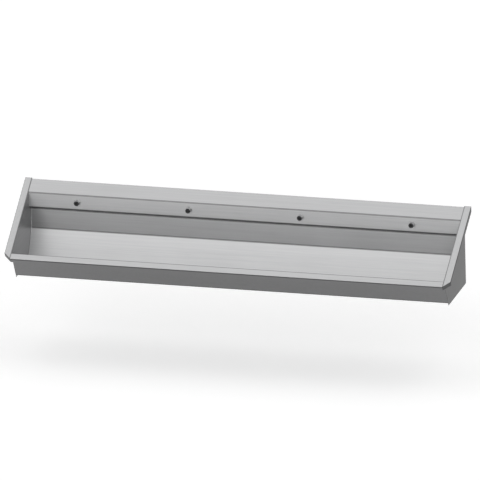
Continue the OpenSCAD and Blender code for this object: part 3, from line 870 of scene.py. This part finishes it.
class TROUGH_OT_seams(bpy.types.Operator):
    """Weld seams in the corners between the end panels and the long sheets"""

    bl_idname = "trough.seams"
    bl_label = "Corner seams"

    def execute(self, context):
        settings = context.scene.trough
        shape, radius = settings.shape, settings.sheets.seam
        bowl, panel = bowl_section(shape), panel_section(shape)
        bowl[-1] = short_of(bowl[-1], bowl[-2], 2 * shape.sheet)
        panel[0] = short_of(panel[0], panel[1], 2 * shape.sheet)
        for side, hand in ((-1, "left"), (1, "right")):
            mesh = bmesh.new()
            for points in (bowl, panel):
                seam_along(mesh, points, side * INNER_X, side, radius, shape.sheet / 5)
            add_piece(context, f"corner_seam_{hand}", "seam_steel", mesh)
        return {"FINISHED"}


def insert_ring(mesh, placing, outer, back, mouth):
    """Adds a jet insert's ring, with a thin rim that covers the mouth of the outlet."""
    lip = 0.4 * MM
    inner, rim = outer - 2 * MM, outer + 1.8 * MM
    rings = [
        (outer, back),
        (outer, mouth),
        (rim, mouth),
        (rim, mouth + lip),
        (rim - lip, mouth + 2 * lip),
        (inner + 2 * lip, mouth + 2 * lip),
        (inner, mouth),
        (inner, back),
    ]
    turned(mesh, rings, placing)


def honeycomb(mesh, placing, reach, back, front, look):
    """Adds a grid of six-sided cells with thin walls, as far out as reach."""
    cell = look.cell / math.sqrt(3)
    inner = cell - look.cell_wall / math.sqrt(3)
    rows = int(reach / look.cell) + 1
    centres = {}
    for i in range(-rows, rows + 1):
        for j in range(-rows, rows + 1):
            x, y = look.cell * (i + j / 2), look.cell * j * math.sqrt(3) / 2
            if math.hypot(x, y) + cell * 0.2 < reach:
                centres[i, j] = x, y
    sides = ((1, 0), (0, 1), (-1, 1), (-1, 0), (0, -1), (1, -1))
    corners = [SIXTH_TURN * (k + 0.5) for k in range(6)]
    for (i, j), (x, y) in centres.items():
        loops = []
        for r, h in ((cell, back), (cell, front), (inner, front), (inner, back)):
            points = [Vector((x + r * math.cos(c), y + r * math.sin(c), h)) for c in corners]
            loops.append([mesh.verts.new(placing @ point) for point in points])
        for k in range(6):
            n = (k + 1) % 6
            beside = (i + sides[n][0], j + sides[n][1])
            outside = [] if beside in centres else [(0, 1)]
            for a, b in [(1, 2), (2, 3), (3, 0), *outside]:
                mesh.faces.new((loops[a][k], loops[a][n], loops[b][n], loops[b][k]))


class TROUGH_OT_outlets(bpy.types.Operator):
    """Finish the four outlets and build the honeycomb inserts in their mouths"""

    bl_idname = "trough.outlets"
    bl_label = "Water outlets"

    def execute(self, context):
        look = context.scene.trough.fittings
        wall, setback = 2.2 * MM, 0.6 * MM
        dress(context, "turned_steel", 0.4 * MM, *numbered("outlet"))
        for outlet, insert in zip(numbered("outlet"), numbered("jet_insert")):
            placing, outer = towards_user(insert), size_of(insert).x / 2
            back, front = before_wall(insert)
            mesh = bmesh.new()
            insert_ring(mesh, placing, outer, back, before_wall(outlet)[1])
            honeycomb(mesh, placing, outer - wall, back, front - setback, look)
            name = insert.replace("insert", "honeycomb")
            add_piece(context, name, "plastic", mesh, insert)
        return {"FINISHED"}


def union_nut(context, name, replaced):
    """A nut with a web at its back, which draws the washer against the outlet."""
    size = size_of(replaced)
    flats, (back, front) = min(size.x, size.z), before_wall(replaced)
    bore, neck, web, lead = 10.6 * MM, 9.1 * MM, 3 * MM, 0.8 * MM
    rings = [
        (neck, back),
        *hexagon(flats, back, front, 0.6 * MM, 0.97),
        (bore + lead, front),
        (bore, front - lead),
        (bore, back + web),
        (neck, back + web),
    ]
    mesh = bmesh.new()
    turned(mesh, rings, towards_user(replaced))
    add_piece(context, name, "machined_brass", mesh, replaced)


def studs_and_nuts(context, pitch):
    """A stud on both sides of each outlet, with a foot that flares into its weld."""
    radius, aside, flats = 2.5 * MM, 24 * MM, 8 * MM
    back, front = before_wall("weld_studs")
    stud = [
        (radius * 0.7, back),
        *thread_rings(radius, back + 0.3 * MM, front - 3 * MM, pitch),
        (radius, front - 2.5 * MM),
        (radius, front - 0.8 * MM),
        (radius * 1.5, front),
    ]
    nut = plain_nut(radius, flats, *before_wall("stud_nuts"), 0.3 * MM)
    studs, nuts = bmesh.new(), bmesh.new()
    for gasket in numbered("outlet_gasket"):
        for side in (-aside, aside):
            placing = towards_user(gasket, side)
            turned(studs, stud, placing, STUD_STEPS, closed=False)
            turned(nuts, nut, placing, NUT_STEPS)
    add_piece(context, "threaded_studs", "mill_steel", studs, "weld_studs")
    add_piece(context, "hexagon_nuts", "zinc_plating", nuts, "stud_nuts")


def braze(context):
    """Fillets of braze where the nipples sit on the supply pipe."""
    pipe, pipe_r = centre_of("supply_pipe"), size_of("supply_pipe").z / 2
    nipple_r, bead = 9 * MM, 1.1 * MM
    section, ahead = circle_points(bead, 8), Vector((0, -1, 0))
    mesh = bmesh.new()
    for gasket in numbered("outlet_gasket"):
        path = []
        for turn in turns(ROUND_STEPS):
            out = Vector((math.cos(turn), 0, math.sin(turn)))
            reach = math.sqrt(pipe_r**2 - (nipple_r * math.sin(turn)) ** 2)
            centre = Vector((centre_of(gasket).x, pipe.y - reach, pipe.z)) + out * nipple_r
            path.append((centre, out, ahead, section))
        swept(mesh, path, closed=True)
    add_piece(context, "branch_braze", "machined_brass", mesh)


class TROUGH_OT_unions(bpy.types.Operator):
    """Gaskets, studs, nuts and unions behind the tap panel"""

    bl_idname = "trough.unions"
    bl_label = "Unions"

    def execute(self, context):
        dress(context, "rubber", 0, *numbered("outlet_gasket"))
        dress(context, "machined_brass", 0.2 * MM, *numbered("branch_nipple"))
        dress(context, "fibre", 0, "union_washers")
        for name, replaced in zip(numbered("union_hexagon"), numbered("union_nut")):
            union_nut(context, name, replaced)
        studs_and_nuts(context, context.scene.trough.fittings.stud_pitch)
        braze(context)
        return {"FINISHED"}


# How far a pressed socket stands out from its pipe, and how far off the pipe its bore is
SOCKET_WALL = 2.5 * MM
SOCKET_PLAY = 0.02 * MM


def bead_rings(outer, end):
    """Rings of the swelling over the sealing ring at the mouth of a pressed socket."""
    sizes = ((-0.8, 6.4), (-0.2, 5.2), (0.4, 3.6), (0.0, 2.0), (-0.8, 0.8), (-1.0, 0.0))
    return [(outer + swell * MM, end - back * MM) for swell, back in sizes]


def pressed_cap(context):
    size, middle = size_of("pipe_cap"), centre_of("pipe_cap")
    foot = Matrix.Translation((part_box("pipe_cap")[0].x, middle.y, middle.z))
    outer, deep, web = size.z / 2, size.x, 3 * MM
    bore = outer - SOCKET_WALL + SOCKET_PLAY
    rings = [
        (0.0, 0.0),
        (outer - 2 * MM, 0.0),
        (outer - 1.2 * MM, 0.3 * MM),
        (outer - 0.8 * MM, 1.2 * MM),
        (outer - 0.8 * MM, deep - 7 * MM),
        *bead_rings(outer, deep),
        (bore, deep),
        (bore, web),
        (0.0, web),
    ]
    mesh = bmesh.new()
    turned(mesh, rings, foot @ Matrix.Rotation(RIGHT_ANGLE, 4, "Y"))
    add_piece(context, "pressed_cap", "mill_steel", mesh, "pipe_cap")


def pressed_elbow(context):
    """A quarter bend between two beaded sockets, outside first and then back through it."""
    drop, run = centre_of("drop_pipe"), centre_of("supply_pipe")
    pipe_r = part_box("inlet_elbow")[1].x - drop.x - SOCKET_WALL
    outer, bend, socket, steps = pipe_r + 1.5 * MM, 26 * MM, 16 * MM, 12
    heart = Vector((drop.x - bend, drop.y, run.z - bend))
    side = Vector((0, 1, 0))
    beads = ((0.0, 0.0), (1.6, 1.0), (3.2, 1.4), (4.8, 1.0), (6.4, 0.0))
    rings = []
    for back, swell in beads:
        ring = Vector((back * MM - socket, 0, bend)), Vector((1, 0, 0)), outer + swell * MM
        rings.append(ring)
    for k in range(steps + 1):
        turn = RIGHT_ANGLE * k / steps
        across, up = math.sin(turn), math.cos(turn)
        rings.append((bend * Vector((across, 0, up)), Vector((up, 0, -across)), outer))
    for back, swell in reversed(beads):
        ring = Vector((bend, 0, back * MM - socket)), Vector((0, 0, -1)), outer + swell * MM
        rings.append(ring)
    rings += [(place, ahead, pipe_r + SOCKET_PLAY) for place, ahead, _ in reversed(rings)]
    path = []
    for place, ahead, radius in rings:
        section = circle_points(radius, ROUND_STEPS)
        path.append((heart + place, side, ahead.cross(side), section))
    mesh = bmesh.new()
    swept(mesh, path, closed=True)
    add_piece(context, "pressed_elbow", "mill_steel", mesh, "inlet_elbow")


def threaded_inlet(context, pitch):
    """The adaptor: a thread, a hexagon for the spanner and a socket for the drop pipe."""
    crest, flats, bore, outer = 13.2 * MM, 32 * MM, 8 * MM, 13.5 * MM
    thread_l, socket, socket_bore = 18 * MM, size_of("inlet_adaptor").z, 11.02 * MM
    head, root, waist = thread_l + 10 * MM, crest - 1.2 * MM, outer - 0.6 * MM
    rings = [
        (bore, 0.0),
        (crest - 1.4 * MM, 0.0),
        *thread_rings(crest, 0.3 * MM, thread_l - 1.2 * MM, pitch),
        (root, thread_l - 1.0 * MM),
        (root, thread_l),
        *hexagon(flats, thread_l, head, 0.6 * MM, 0.97),
        (waist, head),
        (waist, socket - 7 * MM),
        *bead_rings(outer + 0.6 * MM, socket),
        (socket_bore, socket),
        (socket_bore, head),
        (bore, head),
    ]
    mesh = bmesh.new()
    turned(mesh, rings, upwards("inlet_adaptor"))
    add_piece(context, "threaded_inlet", "machined_brass", mesh, "inlet_adaptor")


class TROUGH_OT_supply(bpy.types.Operator):
    """Supply pipe, cap, elbow, drop pipe and inlet adaptor"""

    bl_idname = "trough.supply"
    bl_label = "Supply"

    def execute(self, context):
        dress(context, "mill_steel", 0, "supply_pipe", "drop_pipe")
        pressed_cap(context)
        pressed_elbow(context)
        threaded_inlet(context, context.scene.trough.fittings.supply_pitch)
        return {"FINISHED"}


class TROUGH_OT_wall_fixing(bpy.types.Operator):
    """Wall rail, hook rail and support brackets"""

    bl_idname = "trough.wall_fixing"
    bl_label = "Wall fixing"

    def execute(self, context):
        dress(context, "zinc_plating", 0.3 * MM, "wall_rail")
        dress(context, "mill_steel", 0.3 * MM, "hook_rail")
        dress(context, "zinc_plating", 0.4 * MM, *numbered("support_bracket"))
        return {"FINISHED"}


def threaded_waste(context, pitch):
    """A flanged cup with the outlet thread, and four spokes that hold the screw's boss."""
    placing, size = upwards("waste_body"), size_of("waste_body")
    top, flange_r = size.z, size.x / 2
    wall, crest, cup, thread_l = 3 * MM, 23.9 * MM, 29 * MM, 22 * MM
    neck, flange_z = thread_l + 6 * MM, top - 2 * wall
    rings = [
        (crest - wall, 0.0),
        (crest - 1.6 * MM, 0.0),
        *thread_rings(crest, 0.4 * MM, thread_l - 0.4 * MM, pitch),
        (crest, thread_l),
        (cup + wall, neck),
        (cup + wall, flange_z - 1 * MM),
        (cup + wall + 1 * MM, flange_z),
        (flange_r - 0.8 * MM, flange_z),
        (flange_r, flange_z + 0.8 * MM),
        (flange_r, top - 0.5 * MM),
        (flange_r - 0.5 * MM, top),
        (cup, top),
        (cup, neck),
        (crest - wall, thread_l),
    ]
    boss_r, bore, foot, head = 7 * MM, 3.05 * MM, neck - 2 * MM, top - 4 * MM
    boss = [
        (bore, foot),
        (boss_r - 0.6 * MM, foot),
        (boss_r, foot + 0.6 * MM),
        (boss_r, head - 0.5 * MM),
        (boss_r - 0.5 * MM, head),
        (bore, head),
    ]
    mesh = bmesh.new()
    turned(mesh, rings, placing, ROUND_STEPS + STUD_STEPS)
    turned(mesh, boss, placing)
    sink, half, tall = 0.5 * MM, 1.5 * MM, 9 * MM
    for k in range(4):
        spoke = placing @ Matrix.Rotation(RIGHT_ANGLE * k, 4, "Z")
        block(mesh, (boss_r - sink, -half, neck), (cup + sink, half, neck + tall), spoke)
    add_piece(context, "threaded_waste", "plastic", mesh, "waste_body")


class TROUGH_OT_waste(bpy.types.Operator):
    """Strainer, seals, threaded waste body and screw"""

    bl_idname = "trough.waste"
    bl_label = "Waste"

    def execute(self, context):
        dress(context, "polished_steel", 0.2 * MM, "waste_strainer", "waste_screw")
        dress(context, "rubber", 0.3 * MM, "waste_seal_upper", "waste_seal_lower")
        threaded_waste(context, context.scene.trough.fittings.waste_pitch)
        return {"FINISHED"}


def earth_bolt_and_nut(context):
    flats, radius, pitch, chamfer = 10 * MM, 3 * MM, 1.0 * MM, 0.4 * MM
    placing = towards_user("earth_screw")
    back, end = before_wall("earth_screw")
    head = back + 4 * MM
    rings = [
        (flats / 2 * 0.6, back),
        (flats / 2 * 0.96, back),
        hexagon_ring(flats, back + chamfer, -1),
        hexagon_ring(flats, head),
        (radius, head),
        *thread_rings(radius, head + 0.2 * MM, end - 0.4 * MM, pitch),
        (radius * 0.7, end),
    ]
    screw, nut = bmesh.new(), bmesh.new()
    turned(screw, rings, placing, NUT_STEPS, closed=False)
    nut_rings = plain_nut(radius, flats, *before_wall("earth_nut"), chamfer)
    turned(nut, nut_rings, placing, NUT_STEPS)
    add_piece(context, "earth_bolt", "zinc_plating", screw, "earth_screw")
    add_piece(context, "earth_hexagon", "zinc_plating", nut, "earth_nut")


class TROUGH_OT_earthing(bpy.types.Operator):
    """Earth tag with its screw and nut"""

    bl_idname = "trough.earthing"
    bl_label = "Earthing"

    def execute(self, context):
        dress(context, "mill_steel", 0.3 * MM, "earth_tag")
        earth_bolt_and_nut(context)
        return {"FINISHED"}


class TROUGH_OT_pads(bpy.types.Operator):
    """Damping pads glued under the sheet"""

    bl_idname = "trough.pads"
    bl_label = "Damping pads"

    def execute(self, context):
        dress(context, "embossed_bitumen", 0.8 * MM, "damping_pads")
        return {"FINISHED"}


# ---- Stage ----

# Lamps as large soft suns: name, azimuth and elevation in degrees, width in degrees, strength
LAMPS = (
    ("top_back", 180, 60, 60, 0.52),
    ("left", -90, 50, 60, 0.40),
    ("right", 90, 50, 60, 0.40),
    ("low_front", -12, 4, 16, 0.86),
    ("low_right", 15, 4, 16, 0.92),
    ("high_front", -15, 40, 30, 0.25),
    ("high_right", 15, 30, 40, 0.30),
    ("front_left", -48, 24, 50, 0.16),
    ("front_right", 48, 24, 50, 0.16),
)


def direction(azimuth, elevation):
    """Unit vector towards a place that is seen at this azimuth and elevation."""
    return Vector((
        math.sin(azimuth) * math.cos(elevation),
        -math.cos(azimuth) * math.cos(elevation),
        math.sin(elevation),
    ))


def add_floor(context, look):
    half, level = look.floor_side / 2, CAD_BOX[0].z - look.floor_gap
    corners = ((-half, -half), (half, -half), (half, half), (-half, half))
    data = bpy.data.meshes.new("floor")
    data.from_pydata([(x, y, level) for x, y in corners], [], [(0, 1, 2, 3)])
    data.materials.append(finish(context, "pale_floor"))
    floor = add_object(context, "floor", data)


def add_world(context, look):
    """Even light, and white where the camera sees the world."""
    world = bpy.data.worlds.new("even_light")
    world.use_nodes = True
    graph = Graph(world.node_tree)
    strength = look.ambient + graph.seen() * (1.0 - look.ambient)
    sockets = {"Color": (1, 1, 1, 1), "Strength": strength}
    even = graph.node("ShaderNodeBackground", sockets)("Background")
    graph.node("ShaderNodeOutputWorld", {"Surface": even})
    context.scene.world = world


def add_lamps(context):
    for name, azimuth, elevation, width, strength in LAMPS:
        lamp = bpy.data.lights.new(name, "SUN")
        lamp.energy = strength
        lamp.angle = math.radians(width)
        towards = direction(math.radians(azimuth), math.radians(elevation))
        holder = add_object(context, name, lamp)
        holder.matrix_world = towards.to_track_quat("Z", "Y").to_matrix().to_4x4()


def add_camera(context, look):
    """A parallel view from the side that the photograph was taken from."""
    back = direction(look.azimuth, look.elevation)
    level = Vector((math.cos(look.azimuth), math.sin(look.azimuth), 0))
    right = Matrix.Rotation(look.roll, 3, back) @ level
    up = back.cross(right)
    pixel = look.frame_width / look.frame_pixels
    middle = look.frame_pixels / 2
    target = (look.origin_y - middle) * pixel * up - (look.origin_x - middle) * pixel * right
    data = bpy.data.cameras.new("camera")
    data.type = "ORTHO"
    data.ortho_scale = look.frame_width
    data.clip_end = look.floor_side
    holder = add_object(context, "camera", data)
    axes = Matrix((right, up, back)).transposed().to_4x4()
    holder.matrix_world = Matrix.Translation(target + back * 4 * look.frame_width) @ axes
    context.scene.camera = holder


class TROUGH_OT_stage(bpy.types.Operator):
    """Floor, even light, soft lamps and the camera"""

    bl_idname = "trough.stage"
    bl_label = "Stage"

    def execute(self, context):
        look = context.scene.trough.stage
        add_floor(context, look)
        add_world(context, look)
        add_lamps(context)
        add_camera(context, look)
        context.scene.view_settings.view_transform = "Standard"
        return {"FINISHED"}


# ---- Add-on ----

OPERATORS = (
    TROUGH_OT_sheets,
    TROUGH_OT_seams,
    TROUGH_OT_outlets,
    TROUGH_OT_unions,
    TROUGH_OT_supply,
    TROUGH_OT_wall_fixing,
    TROUGH_OT_waste,
    TROUGH_OT_earthing,
    TROUGH_OT_pads,
    TROUGH_OT_stage,
)


class TROUGH_PT_sidebar(bpy.types.Panel):
    """Lists the trough's settings and operators"""

    bl_idname = "TROUGH_PT_sidebar"
    bl_label = "Wash trough"
    bl_space_type = "VIEW_3D"
    bl_region_type = "UI"
    bl_category = "Trough"

    def draw(self, context):
        for part in TroughSettings.__annotations__:
            group, box = getattr(context.scene.trough, part), self.layout.box()
            for name in type(group).__annotations__:
                box.prop(group, name)
        for operator in OPERATORS:
            self.layout.operator(operator.bl_idname)


CLASSES = (
    TroughSheetSettings,
    TroughShapeSettings,
    TroughFittingSettings,
    TroughStageSettings,
    TroughSettings,
    *OPERATORS,
    TROUGH_PT_sidebar,
)


def register():
    for cls in CLASSES:
        bpy.utils.register_class(cls)
    bpy.types.Scene.trough = PointerProperty(type=TroughSettings)


def unregister():
    del bpy.types.Scene.trough
    for cls in reversed(CLASSES):
        bpy.utils.unregister_class(cls)


def main():
    register()
    for operator in OPERATORS:
        getattr(bpy.ops.trough, operator.bl_idname.split(".")[1])()


if __name__ == "__main__":
    main()
